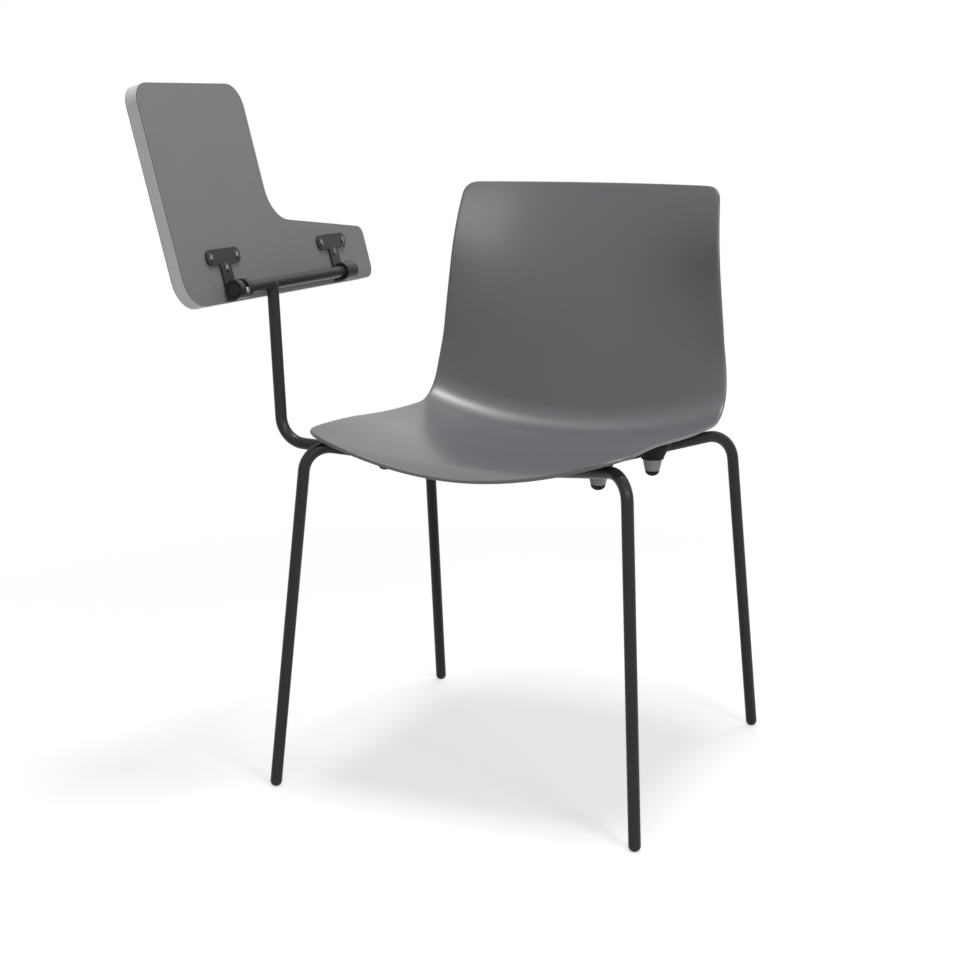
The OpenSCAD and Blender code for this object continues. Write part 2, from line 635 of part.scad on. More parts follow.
// Snap clips that hold the tubes' slanted runs against the shell
module tube_clip(side, corner, mid, share) {
    p = corner + (mid - corner)*share;
    d = unit(mid - corner);
    place = [side*p[0], p[1]];
    color("#232325") below_shell(place[0], place[1]) mirror([side < 0 ? 1 : 0, 0, 0]) difference() {
        translate(p) rotate([0, 0, atan2(d[1], d[0])]) rotate([0, -asin(d[2]), 0])
            translate([-clip_l/2, -tube_r - clip_wall, -clip_drop])
                cube([clip_l, tube_d + 2*clip_wall, clip_drop + cut_reach/2]);
        aim(p - d*clip_l, d) cylinder(d=tube_d + 2*fit_gap, h=2*clip_l, $fn=round_fn);
    }
}
module tube_clip_front_left() { tube_clip(-1, front_corner, front_mid, front_clip_share); }
module tube_clip_front_right() { tube_clip(1, front_corner, front_mid, front_clip_share); }
module tube_clip_rear_left() { tube_clip(-1, rear_corner, rear_mid, rear_clip_share); }
module tube_clip_rear_right() { tube_clip(1, rear_corner, rear_mid, rear_clip_share); }

module glide(side, foot, leg) {
    p = [side*foot[0], foot[1], foot[2]];
    d = [side*leg[0], leg[1], leg[2]];
    ball = (tube_r - glide_flat)/d[2];
    color("#1b1b1c") difference() {
        aim(p, d) {
            difference() {
                translate([0, 0, ball]) sphere(d=tube_d, $fn=round_fn);
                translate([0, 0, ball]) cylinder(d=tube_d + 2*cut_over, h=tube_d, $fn=round_fn);
            }
            translate([0, 0, ball]) cylinder(d=tube_d, h=glide_h - ball, $fn=round_fn);
            translate([0, 0, glide_h]) cylinder(d=tube_in_d - 2*fit_gap, h=glide_stem, $fn=round_fn);
        }
        translate([p[0] - cut_reach/2, p[1] - cut_reach/2, -cut_reach]) cube(cut_reach);
    }
}
module glide_front_left() { glide(-1, front_foot, front_leg); }
module glide_front_right() { glide(1, front_foot, front_leg); }
module glide_rear_left() { glide(-1, rear_foot, rear_leg); }
module glide_rear_right() { glide(1, rear_foot, rear_leg); }

// Outline of the base's flare from its lower end up, and of its hollow
function flare_r(h) = base_d/2 + (base_top_d - base_d)/2*pow(min(1, h/base_h), flare_share);
cup_in_r = cup_top_d/2 - base_wall;
spigot_h = base_wall;
module buffer_base(k) {
    tall = base_h + base_top_d/4;
    place = buffer_places[k];
    color("#1b1b1c") below_shell(place[0], place[1], base_gap) at_buffer(k) difference() {
        union() {
            rotate_extrude($fn=round_fn) polygon(concat([[0, 0]],
                [for (j = [0 : arc_steps]) let (h = base_h*j/arc_steps) [flare_r(h), h]],
                [[flare_r(base_h), tall], [0, tall]]));
            translate([0, 0, -spigot_h]) cylinder(r=cup_in_r - spigot_gap, h=spigot_h, $fn=round_fn);
        }
        rotate_extrude($fn=round_fn) polygon(concat([[0, base_wall]],
            [for (j = [0 : arc_steps]) let (h = base_h*j/arc_steps)
                [flare_r(h) - base_wall, max(h, base_wall)]],
            [[flare_r(base_h) - base_wall, tall + cut_over], [0, tall + cut_over]]));
        translate([0, 0, -cut_reach/2]) cylinder(d=screw_d + 2*screw_play, h=cut_reach, $fn=round_fn);
        translate([0, 0, -spigot_h - cut_over])
            cylinder(d=screw_head_d + 2*screw_play, h=spigot_h + cut_over, $fn=round_fn);
    }
}
module buffer_cup(k) {
    color("#6e6f72") at_buffer(k) translate([0, 0, -cup_h]) difference() {
        cylinder(d1=cup_low_d, d2=cup_top_d, h=cup_h, $fn=round_fn);
        translate([0, 0, base_wall])
            cylinder(r1=cup_low_d/2 - base_wall, r2=cup_in_r, h=cup_h - base_wall, $fn=round_fn);
        translate([0, 0, -cut_over]) cylinder(d=tip_stem_d, h=base_wall + 2*cut_over, $fn=round_fn);
    }
}
module buffer_tip(k) {
    color("#161617") at_buffer(k) translate([0, 0, -cup_h]) {
        rotate_extrude($fn=round_fn) polygon(concat([[0, 0]],
            [for (j = [0 : arc_steps]) let (a = 90*j/arc_steps) [cup_low_d/2*cos(a), -tip_h*sin(a)]]));
        cylinder(d=tip_stem_d, h=base_wall, $fn=round_fn);
    }
}
module buffer_base_front_left() { buffer_base(0); }
module buffer_base_front_right() { buffer_base(1); }
module buffer_base_rear_left() { buffer_base(2); }
module buffer_base_rear_right() { buffer_base(3); }
module buffer_cup_front_left() { buffer_cup(0); }
module buffer_cup_front_right() { buffer_cup(1); }
module buffer_cup_rear_left() { buffer_cup(2); }
module buffer_cup_rear_right() { buffer_cup(3); }
module buffer_tip_front_left() { buffer_tip(0); }
module buffer_tip_front_right() { buffer_tip(1); }
module buffer_tip_rear_left() { buffer_tip(2); }
module buffer_tip_rear_right() { buffer_tip(3); }

// Hinge bar: along Y through this place
post_x = seat_half_w + post_out;
bar_x = post_x + (bar_z - post_z)*tan(post_lean);
bar_l = bar_front_y + bar_rear_y;
module along_bar(y) {
    translate([-bar_x, y, bar_z]) rotate([-90, 0, 0]) children();
}
module hinge_bar() {
    color("#2b2b2d") difference() {
        along_bar(-bar_front_y) linear_extrude(bar_l) tube_ring(tube_d, tube_in_d);
        stop_axis() cylinder(d=stop_shank_d, h=tube_d, $fn=round_fn);
    }
}
// The post is welded to the front tube's slanted run, axis to axis
weld_share = (-post_y - front_corner[1])/(front_mid[1] - front_corner[1]);
post_weld = mirrored(front_corner + (front_mid - front_corner)*weld_share);
module tablet_post() {
    color("#2b2b2d") difference() {
        tube_run([post_weld, [-post_x, -post_y, post_z], [-bar_x, -post_y, bar_z]],
                 [post_bend_r], tube_d, tube_in_d);
        along_bar(-bar_front_y) cylinder(d=tube_d + 2*fit_gap, h=bar_l, $fn=round_fn);
        mirror([1, 0, 0]) aim(front_corner, front_mid - front_corner)
            cylinder(d=tube_d + 2*fit_gap, h=norm(front_mid - front_corner), $fn=round_fn);
    }
}
// Flange outwards from the bar's end, stem into the bar
module bar_plug() {
    color("#1b1b1c") {
        translate([0, 0, -plug_t]) cylinder(d=tube_d + 2*plug_lip, h=plug_t, $fn=round_fn);
        cylinder(d=tube_in_d - 2*fit_gap, h=plug_stem, $fn=round_fn);
    }
}
module bar_plug_front() { along_bar(-bar_front_y) bar_plug(); }
module bar_plug_rear() { along_bar(bar_rear_y) mirror([0, 0, 1]) bar_plug(); }

// The sleeves cover the plugs' flanges, and the bushes run on the bar between them
sleeve_front_y = plug_out - plug_t - bar_front_y;
sleeve_rear_y = bar_rear_y + plug_t - plug_out - sleeve_l;
bush_l = sleeve_l - plug_t + plug_out - bush_end_gap - bush_in;
bush_front_y = bush_end_gap - bar_front_y;
bush_rear_y = sleeve_rear_y + bush_in;
// The stop screw stands out of the bar in the front sleeve's slot
slot_y = sleeve_front_y + slot_from_end;
stop_head_d = slot_w - 2*slot_step - 2*stop_play;
stop_head_r = sleeve_d/2 + stop_head_out;
module stop_axis() {
    translate([-bar_x, slot_y, bar_z]) rotate([0, 90 + stop_dip, 0]) children();
}
module stop_screw() {
    color("silver") stop_axis() difference() {
        union() {
            translate([0, 0, tube_in_d/2 - cut_over/2])
                cylinder(d=stop_shank_d, h=tube_wall + cut_over, $fn=round_fn);
            translate([0, 0, tube_r + seat_gap])
                cylinder(d=stop_head_d, h=stop_head_r - tube_r - seat_gap, $fn=round_fn);
        }
        translate([0, 0, stop_head_r - cut_over]) cylinder(d=stop_head_d/2, h=2*cut_over, $fn=6);
    }
}
// The slot that lets the tablet swing past the stop screw
module stop_slot() {
    reach = sleeve_d;
    for (a = [0, swing]) translate([-bar_x, slot_y, bar_z]) rotate([0, 90 + stop_dip - a, 0])
        translate([0, 0, tube_r/2]) cylinder(d=slot_w - 2*slot_step, h=reach, $fn=round_fn);
    along_bar(slot_y - slot_w/2) rotate([0, 0, stop_dip]) linear_extrude(slot_w)
        polygon(concat([for (a = [0, swing]) tube_r/2*[cos(a), -sin(a)]],
                       [for (a = [swing, swing/2, 0]) reach*[cos(a), -sin(a)]]));
}
module sleeve(y) {
    color("#232325") along_bar(y) linear_extrude(sleeve_l) tube_ring(sleeve_d, bush_d);
}
module bush(y) {
    color("#3a3a3c") along_bar(y) linear_extrude(bush_l) tube_ring(bush_d, tube_d + 2*bush_gap);
}
module sleeve_front() { difference() { sleeve(sleeve_front_y); stop_slot(); } }
module sleeve_rear() { sleeve(sleeve_rear_y); }
module bush_front() { difference() { bush(bush_front_y); stop_slot(); } }
module bush_rear() { bush(bush_rear_y); }

// Tablet's own axes at the bar: X along the bar to the rear, Y up the tablet, Z out of its underside
module on_tablet() {
    translate([-bar_x, 0, bar_z]) rotate([0, -rest_tilt, 0]) rotate([90, 0, 90]) children();
}
plate_z = -sleeve_d/2 - plate_t;
board_z = plate_z - board_t;
// Rounds each corner [x, y, radius] of an outline that turns left, hollow corners too
function round_corner(a, b, c) =
    let (p = [b[0], b[1]], u = unit([a[0], a[1]] - p), w = unit([c[0], c[1]] - p), half = acos(u*w)/2,
         o = p + unit(u + w)*b[2]/sin(half), hollow = cross(-u, w) < 0,
         first = p + u*b[2]/tan(half) - o, start = atan2(first[1], first[0]), sweep = 180 - 2*half)
    b[2] == 0 ? [p]
              : [for (j = [0 : arc_steps]) let (t = start + (hollow ? -1 : 1)*sweep*j/arc_steps)
                    o + b[2]*[cos(t), sin(t)]];
function rounded(c) =
    let (n = len(c)) [for (i = [0 : n - 1]) each round_corner(c[(i + n - 1) % n], c[i], c[(i + 1) % n])];
// Moves every side of an outline inwards and keeps its rounding parallel
function drawn_corner(a, b, c, d) =
    let (p = [b[0], b[1]], e = unit(p - [a[0], a[1]]), g = unit([c[0], c[1]] - p),
         ne = [-e[1], e[0]], ng = [-g[1], g[0]], k = unit(ne + ng))
    concat(p + k*d/(k*ne), [b[2] + (cross(e, g) > 0 ? -d : d)]);
function drawn(c, d) =
    let (n = len(c)) [for (i = [0 : n - 1]) drawn_corner(c[(i + n - 1) % n], c[i], c[(i + 1) % n], d)];
board_corners = [[-board_front, -board_out, front_outer_r], [board_rear, -board_out, rear_outer_r],
                 [board_rear, arm_rear_w, rear_inner_r], [-lobe_side, arm_front_w, hollow_r],
                 [-lobe_side, lobe_w, lobe_r], [-board_front, lobe_w, front_inner_r]];
module board_slab(z, h, inset) {
    on_tablet() translate([0, 0, z]) linear_extrude(h) polygon(rounded(drawn(board_corners, inset)));
}
function plate_corners(y) =
    let (head_in = plate_head_at - plate_head_w/2, head_out = plate_head_at + plate_head_w/2, l = plate_head_l/2,
         w = plate_stem_w/2, full = plate_head_w/2*head_round_share)
    [[y - w, -plate_tail, plate_tail_r], [y + w, -plate_tail, plate_tail_r], [y + w, head_in, plate_fillet],
     [y + l, head_in, full], [y + l, head_out, full], [y - l, head_out, full], [y - l, head_in, full],
     [y - w, head_in, plate_fillet]];
function plate_holes(y) = [[y - plate_screw_pitch/2, plate_head_at], [y + plate_screw_pitch/2, plate_head_at],
                           [y, stem_screw_at]];
// Radius of the sphere that a plate screw's head is cut from
wood_head_r = (pow(wood_head_d/2, 2) + pow(wood_head_h, 2))/(2*wood_head_h);
plate_front_y = sleeve_front_y + sleeve_l - plate_stem_w/2;
plate_rear_y = sleeve_rear_y + sleeve_l - plate_stem_w/2;
module hinge_plate(y) {
    color("#232325") difference() {
        on_tablet() translate([0, 0, plate_z]) linear_extrude(plate_t) polygon(rounded(plate_corners(y)));
        for (h = plate_holes(y)) on_tablet() translate([h[0], h[1], plate_z - cut_over])
            cylinder(d=wood_shank_d + 2*fit_gap, h=plate_t + 2*cut_over, $fn=round_fn);
    }
}
// Domed head above the plate's face, shank through the plate into the tablet
module plate_screws(y) {
    color("silver") for (h = plate_holes(y)) on_tablet() translate([h[0], h[1], plate_z + plate_t]) {
        difference() {
            translate([0, 0, wood_head_h - wood_head_r]) sphere(r=wood_head_r, $fn=round_fn);
            translate([0, 0, -2*wood_head_r]) cylinder(r=wood_head_r, h=2*wood_head_r, $fn=round_fn);
            translate([0, 0, wood_head_h/3]) cylinder(d=wood_hex_d, h=wood_head_h, $fn=6);
        }
        translate([0, 0, -wood_len]) cylinder(d=wood_shank_d, h=wood_len, $fn=round_fn);
    }
}
module hinge_plate_front() { hinge_plate(plate_front_y); }
module hinge_plate_rear() { hinge_plate(plate_rear_y); }
module plate_screws_front() { plate_screws(plate_front_y); }
module plate_screws_rear() { plate_screws(plate_rear_y); }

module screw_holes() {
    for (h = concat(plate_holes(plate_front_y), plate_holes(plate_rear_y)))
        on_tablet() translate([h[0], h[1], plate_z + plate_t - wood_len])
            cylinder(d=wood_shank_d, h=wood_len, $fn=round_fn);
}
module tablet_core() {
    color("tan") difference() {
        board_slab(board_z + laminate_t, board_t - 2*laminate_t, band_t);
        screw_holes();
    }
}
// The laminates cover the edge band's sides
module writing_laminate() { color("#8a8b8d") board_slab(board_z, laminate_t, 0); }
module underside_laminate() {
    color("#7b7c7e") difference() {
        board_slab(plate_z - laminate_t, laminate_t, 0);
        screw_holes();
    }
}
module edge_band() {
    color("#97989a") difference() {
        board_slab(board_z + laminate_t, board_t - 2*laminate_t, 0);
        board_slab(board_z, board_t, band_t);
    }
}

seat_shell();
fixing_bosses();
boss_inserts();
front_frame_tube();
rear_frame_tube();
centre_strap();
strap_screws();
tube_clip_front_left();
tube_clip_front_right();
tube_clip_rear_left();
tube_clip_rear_right();
glide_front_left();
glide_front_right();
glide_rear_left();
glide_rear_right();
buffer_base_front_left();
buffer_base_front_right();
buffer_base_rear_left();
buffer_base_rear_right();
buffer_cup_front_left();
buffer_cup_front_right();
buffer_cup_rear_left();
buffer_cup_rear_right();
buffer_tip_front_left();
buffer_tip_front_right();
buffer_tip_rear_left();
buffer_tip_rear_right();
buffer_screws();
tablet_post();
hinge_bar();
bar_plug_front();
bar_plug_rear();
stop_screw();
sleeve_front();
sleeve_rear();
bush_front();
bush_rear();
hinge_plate_front();
hinge_plate_rear();
plate_screws_front();
plate_screws_rear();
tablet_core();
writing_laminate();
underside_laminate();
edge_band();
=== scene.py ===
"""Looks of a tablet arm chair: a satin plastic shell on powder-coated tubes, with a laminated
writing tablet beside it. Lengths are in metres, and MM turns a size in millimetres into them."""
import json
from math import cos, pi, radians, sin, sqrt

import bmesh
import bpy
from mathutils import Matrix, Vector

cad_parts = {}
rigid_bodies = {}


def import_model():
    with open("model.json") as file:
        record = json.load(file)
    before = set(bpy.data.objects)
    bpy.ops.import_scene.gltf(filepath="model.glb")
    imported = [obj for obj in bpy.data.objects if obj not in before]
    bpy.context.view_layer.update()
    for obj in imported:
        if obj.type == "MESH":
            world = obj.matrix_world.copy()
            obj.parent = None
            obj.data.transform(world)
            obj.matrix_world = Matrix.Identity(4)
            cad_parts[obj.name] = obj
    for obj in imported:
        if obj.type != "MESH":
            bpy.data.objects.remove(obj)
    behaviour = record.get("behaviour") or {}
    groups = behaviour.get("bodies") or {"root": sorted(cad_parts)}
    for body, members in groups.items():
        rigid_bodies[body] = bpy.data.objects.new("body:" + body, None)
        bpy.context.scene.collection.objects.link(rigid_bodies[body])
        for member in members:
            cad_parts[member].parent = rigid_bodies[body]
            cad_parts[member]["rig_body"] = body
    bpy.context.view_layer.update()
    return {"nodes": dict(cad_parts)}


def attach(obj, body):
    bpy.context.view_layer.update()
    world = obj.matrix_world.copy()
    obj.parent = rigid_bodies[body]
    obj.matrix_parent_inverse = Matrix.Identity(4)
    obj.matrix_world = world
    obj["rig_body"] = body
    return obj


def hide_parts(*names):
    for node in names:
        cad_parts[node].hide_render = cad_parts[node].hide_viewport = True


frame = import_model()

MM = 0.001
scene = bpy.context.scene

# Camera: the photograph's place and angle
CAMERA_PLACE = Vector((966.4, -2230.1, 917.7)) * MM
CAMERA_AZIMUTH = 24.956
CAMERA_ELEVATION = 11.986
CAMERA_LENS = 66.97

# Places of the CAD's parts that welds, screws and finishes are fitted to, in millimetres
ALONG = Vector((0, 1, 0))
BAR_MIDDLE = Vector((-301.62, 0, 677.6))
POST_TOP = Vector((-301.62, -167, 677.6))
POST_CORNER = Vector((-291.5, -167, 463))
POST_END = Vector((-155.68, -167, 457.9))
SEAT_TUBE_RUN = Vector((226.34, 151.49, -45.17)).normalized()
TUBE_R = 8
STRAP_UNDERSIDE = 438.0
REST_TILT = radians(15)
TABLET_OUT = Vector((cos(REST_TILT), 0, sin(REST_TILT)))
TABLET_UP = Vector((-sin(REST_TILT), 0, cos(REST_TILT)))
PLATE_FACE = -13
PLATE_MIDDLES = {"front": -245.95, "rear": 38.45}
STEM_HALF_W = 11.75
ENDS = ("front", "rear")
SIDES = ("left", "right")
# A plate's screws: along the bar from the plate's middle, and up the tablet
PLATE_SCREWS = ((-30.5, 46.6), (30.5, 46.6), (0, 31.5))
HEX_R = 2.8
# The strap's two tubes: place along the depth where they cross it, and the bend's radius there,
# less than zero where the tube bends towards the front
STRAP_TUBES = ((-75.44, -60), (-57.94, 128))


def linear(hexa):
    """An sRGB colour such as 8c8c8e as the linear colour that a shader takes."""
    channels = [int(hexa[i:i + 2], 16) / 255 for i in (0, 2, 4)]
    return [c / 12.92 if c <= 0.04045 else ((c + 0.055) / 1.055) ** 2.4 for c in channels] + [1]


def add(tree, kind, inputs=None, **settings):
    """Adds a shader node. Each input is a value, or the output socket of another node."""
    made = tree.nodes.new(kind)
    for key, value in settings.items():
        setattr(made, key, value)
    for key, value in (inputs or {}).items():
        if isinstance(value, bpy.types.NodeSocket):
            tree.links.new(value, made.inputs[key])
        else:
            made.inputs[key].default_value = value
    return made


def material(name):
    """An empty material, its node tree and its output."""
    made = bpy.data.materials.new(name)
    made.use_nodes = True
    made.node_tree.nodes.clear()
    return made, made.node_tree, add(made.node_tree, "ShaderNodeOutputMaterial")


# Size of the clouds that mottle a colour, how far the roughness wanders, the span of a noise
# that is put to use, and how squarely a face looks out from the tablet where its edge begins
CLOUD_MM = 60
ROUGH_SWING = 0.04
NOISE_SPAN = {"From Min": 0.3, "From Max": 0.7}
EDGE_SPAN = {"From Min": 0.95, "From Max": 0.8}


def grained(name, colour, roughness, grain_mm, grain_height, mottle=0.04, specular=0.5,
            metallic=0.0, edge=None):
    """A plastic, coated or metal surface: one colour with a faint mottle, a fine grain that lifts
    the surface, and a roughness that wanders a little. Grain sizes are in millimetres. Where an
    edge colour is given, the faces that don't lie along the tablet take it."""
    made, tree, out = material(name)
    place = add(tree, "ShaderNodeTexCoord")
    grain = add(tree, "ShaderNodeTexNoise",
                {"Vector": place.outputs["Object"], "Scale": 1 / (grain_mm * MM), "Detail": 2.0,
                 "Roughness": 0.6})
    clouds = add(tree, "ShaderNodeTexNoise",
                 {"Vector": place.outputs["Object"], "Scale": 1 / (CLOUD_MM * MM), "Detail": 3.0,
                  "Roughness": 0.5})
    tint = add(tree, "ShaderNodeMapRange",
               {"Value": clouds.outputs["Fac"], "To Min": 1 - mottle, "To Max": 1 + mottle,
                **NOISE_SPAN})
    base = linear(colour)[:3]
    if edge:
        facing = add(tree, "ShaderNodeVectorMath",
                     {0: place.outputs["Normal"], 1: TABLET_OUT}, operation="DOT_PRODUCT")
        flat = add(tree, "ShaderNodeMath", {0: facing.outputs["Value"]}, operation="ABSOLUTE")
        side = add(tree, "ShaderNodeMapRange", {"Value": flat.outputs[0], **EDGE_SPAN})
        shades = add(tree, "ShaderNodeValToRGB", {"Fac": side.outputs["Result"]})
        shades.color_ramp.elements[0].color = linear(colour)
        shades.color_ramp.elements[1].color = linear(edge)
        base = shades.outputs["Color"]
    colour_out = add(tree, "ShaderNodeVectorMath", {0: base, "Scale": tint.outputs["Result"]},
                     operation="SCALE")
    rough = add(tree, "ShaderNodeMapRange",
                {"Value": grain.outputs["Fac"], "To Min": roughness - ROUGH_SWING,
                 "To Max": roughness + ROUGH_SWING, **NOISE_SPAN})
    bump = add(tree, "ShaderNodeBump",
               {"Height": grain.outputs["Fac"], "Strength": 1.0, "Distance": grain_height * MM})
    shader = add(tree, "ShaderNodeBsdfPrincipled",
                 {"Base Color": colour_out.outputs["Vector"], "Roughness": rough.outputs["Result"],
                  "Normal": bump.outputs["Normal"], "Metallic": metallic})
    if not metallic:
        shader.inputs["Specular IOR Level"].default_value = specular
    tree.links.new(shader.outputs["BSDF"], out.inputs["Surface"])
    return made


# Injection-moulded polypropylene with a fine spark-eroded grain: a soft sheen, no sharp reflection
SHELL = grained("satin_polypropylene", "595a5d", 0.33, 0.9, 0.012, mottle=0.012, specular=0.6)
# Anthracite polyester powder coat, baked on steel tube: fine orange peel with a satin gloss
FRAME = grained("anthracite_powder_coat", "2e2e2e", 0.28, 1.1, 0.02, mottle=0.03, specular=0.18)
# Black nylon, moulded matt: glides, plugs and clips
NYLON = grained("black_nylon", "232324", 0.5, 0.8, 0.012, specular=0.3)
# Soft black rubber of the buffers' bases and tips, dull all over
RUBBER = grained("black_soft_rubber", "161617", 0.62, 0.9, 0.02, specular=0.15)
# Natural grey polypropylene of the buffers' cups
CUP = grained("grey_polypropylene", "868687", 0.45, 0.8, 0.01)
# Acetal, turned: bushes with a smooth, slightly waxy surface
ACETAL = grained("black_acetal", "1a1a1b", 0.35, 0.8, 0.004, specular=0.2)
# High-pressure laminate with a fine pearled texture, its core showing dark at the cut edges
LAMINATE = grained("grey_laminate", "6c6c6c", 0.5, 1.4, 0.022, mottle=0.02, edge="4c4c4d")
# ABS edge band, machined flush and wiped: a pale line round the darker laminate
BAND = grained("grey_abs_edge_band", "c2c3c2", 0.42, 1.0, 0.008)
# Zinc-plated steel, bright and slightly clouded
ZINC = grained("bright_zinc_plate", "c9cacb", 0.3, 0.6, 0.004, mottle=0.05, metallic=1.0)
# Black-passivated steel of the screws' domed heads: glossy, with a small clear highlight
BLACK_STEEL = grained("black_passivated_steel", "1c1c1d", 0.26, 0.6, 0.004)
# Turned brass of the inserts: yellow, with the shine of a cut surface
BRASS = grained("turned_brass", "c9a860", 0.32, 0.5, 0.004, metallic=1.0)
# Wood fibre board of the tablet's core: pale brown and dull, closed in by laminate and band
FIBRE = grained("fibre_board", "b49a72", 0.8, 1.5, 0.05, mottle=0.1)

FINISH = {
    "seat_shell": SHELL, "fixing_bosses": SHELL, "boss_inserts": BRASS,
    "front_frame_tube": FRAME, "rear_frame_tube": FRAME, "centre_strap": FRAME,
    "tablet_post": FRAME, "hinge_bar": FRAME, "strap_screws": ZINC, "buffer_screws": ZINC,
    "stop_screw": ZINC, "tablet_core": FIBRE, "writing_laminate": LAMINATE,
    "underside_laminate": LAMINATE, "edge_band": BAND,
}
for end in ENDS:
    FINISH["sleeve_" + end] = FRAME
    FINISH["hinge_plate_" + end] = FRAME
    FINISH["bush_" + end] = ACETAL
    FINISH["bar_plug_" + end] = NYLON
    FINISH["plate_screws_" + end] = BLACK_STEEL
    for side in SIDES:
        FINISH[f"tube_clip_{end}_{side}"] = NYLON
        FINISH[f"glide_{end}_{side}"] = NYLON
        FINISH[f"buffer_base_{end}_{side}"] = RUBBER
        FINISH[f"buffer_cup_{end}_{side}"] = CUP
        FINISH[f"buffer_tip_{end}_{side}"] = RUBBER
for name, node in frame["nodes"].items():
    node.data.materials.clear()
    node.data.materials.append(FINISH[name])


# How near two corners are joined, the angle up to which a face counts as flat, the angle from
# which an edge is drawn crisp, and that from which an edge is eased
JOIN_MM, TUBE_JOIN_MM = 0.002, 0.02
FLAT_ANGLE, CREASE_ANGLE, EASE_ANGLE = radians(0.3), radians(35), radians(40)
# Faces across an eased edge, and how often the shell's faces are halved
EASE_STEPS, SHELL_STEPS = 3, 2


def joined(node_name, reach_mm=JOIN_MM):
    """A CAD node's mesh as a bmesh, its loose triangles joined at their corners."""
    bm = bmesh.new()
    bm.from_mesh(frame["nodes"][node_name].data)
    bmesh.ops.remove_doubles(bm, verts=bm.verts, dist=reach_mm * MM)
    return bm


def flattened(node_name):
    """A CAD node's mesh as a bmesh whose flat faces are whole, without the lines of triangles."""
    bm = joined(node_name)
    bmesh.ops.dissolve_limit(bm, angle_limit=FLAT_ANGLE, verts=bm.verts, edges=bm.edges)
    return bm


def piece(name, bm, like, finish=None, crease=CREASE_ANGLE, stands_for=True):
    """Makes the bmesh an object that rides with the CAD node it is like, smooth up to a crease."""
    mesh = bpy.data.meshes.new(name)
    bmesh.ops.recalc_face_normals(bm, faces=bm.faces)
    bm.to_mesh(mesh)
    bm.free()
    mesh.polygons.foreach_set("use_smooth", [True] * len(mesh.polygons))
    mesh.set_sharp_from_angle(angle=crease)
    mesh.materials.append(finish or FINISH[like])
    made = bpy.data.objects.new(name, mesh)
    scene.collection.objects.link(made)
    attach(made, frame["nodes"][like]["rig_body"])
    if stands_for:
        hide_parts(like)
    return made


def eased(obj, width_mm):
    """Rounds an object's sharp edges."""
    bevel = obj.modifiers.new("eased_edges", "BEVEL")
    bevel.limit_method = "ANGLE"
    bevel.angle_limit = EASE_ANGLE
    bevel.width = width_mm * MM
    bevel.segments = EASE_STEPS
    bevel.use_clamp_overlap = True
    bevel.harden_normals = True


def evened(obj):
    """Lets the broad faces lead the shading, so that no seam shows where a bend starts."""
    even = obj.modifiers.new("even_shading", "WEIGHTED_NORMAL")
    even.mode = "FACE_AREA"
    even.keep_sharp = True


def copied(like, ease_mm=0.0):
    """Makes a smooth copy of a CAD node that stands for it, its edges eased by a given width."""
    made = piece(like + "_smooth", flattened(like), like)
    if ease_mm:
        eased(made, ease_mm)


# A weld bead: its radius, how far its ripples swell, the turn of the ripple from one ring to the
# next, the sides of a ring, and the rings round a tube, along a plate's weld and along the strap's
BEAD_R, FINE_BEAD_R = 1.1, 1.0
RIPPLE, RIPPLE_STEP, BEAD_SIDES = 0.1, 1.7, 8
SEAM_RINGS, PLATE_RINGS = 48, 8
STRAP_RINGS_X = (-14, -9, -4, 0, 4, 9, 14)
# Where the beads lie: up the tablet and in from the stem's sides, out from the plate's face, and
# aside from a tube's middle and down from the strap's underside
SLEEVE_BEAD_UP, SLEEVE_BEAD_IN, SLEEVE_BEAD_OUT = 4.6, 1.2, 0.6
STRAP_BEAD_ASIDE, STRAP_BEAD_DOWN = 4.4, 0.7


def swept(bm, line, radius_mm, middle=None, side=None):
    """Adds a bead along a line of points in millimetres: closed round its middle, or open and
    given a direction to one side. It swells and sinks a little, as a weld's ripples do."""
    closed = middle is not None
    last = len(line) - 1
    rings = []
    for i, at in enumerate(line):
        if closed:
            ahead = line[(i + 1) % len(line)] - line[i - 1]
        else:
            ahead = line[min(i + 1, last)] - line[max(i - 1, 0)]
        run = ahead.normalized()
        out = at - middle if closed else side
        out = (out - run * out.dot(run)).normalized()
        up = run.cross(out)
        size = radius_mm * (1 + RIPPLE * sin(i * RIPPLE_STEP))
        rings.append([bm.verts.new((at + size * (cos(t) * out + sin(t) * up)) * MM)
                      for t in (2 * pi * k / BEAD_SIDES for k in range(BEAD_SIDES))])
    for first, second in zip(rings, rings[1:] + rings[:1] if closed else rings[1:]):
        for k in range(BEAD_SIDES):
            beside = (k + 1) % BEAD_SIDES
            bm.faces.new((first[k], first[beside], second[beside], second[k]))
    if not closed:
        bm.faces.new(rings[0])
        bm.faces.new(rings[-1][::-1])


def seam(start, run, other, other_run):
    """The closed line on which a tube that runs up to another tube meets it, in millimetres."""
    across = run.orthogonal().normalized()
    along = run.cross(across)
    line = []
    for i in range(SEAM_RINGS):
        turn = 2 * pi * i / SEAM_RINGS
        at = start + TUBE_R * (cos(turn) * across + sin(turn) * along) - other
        slant = run - other_run * run.dot(other_run)
        off = at - other_run * at.dot(other_run)
        half, square = off.dot(slant), slant.dot(slant)
        root = max(half * half - square * (off.dot(off) - TUBE_R ** 2), 0)
        line.append(other + at - run * (half + sqrt(root)) / square)
    return line


def on_tablet(along, up, out):
    """A place on the tablet in millimetres: along the bar, up the tablet and out from it."""
    return BAR_MIDDLE + ALONG * along + TABLET_UP * up + TABLET_OUT * out


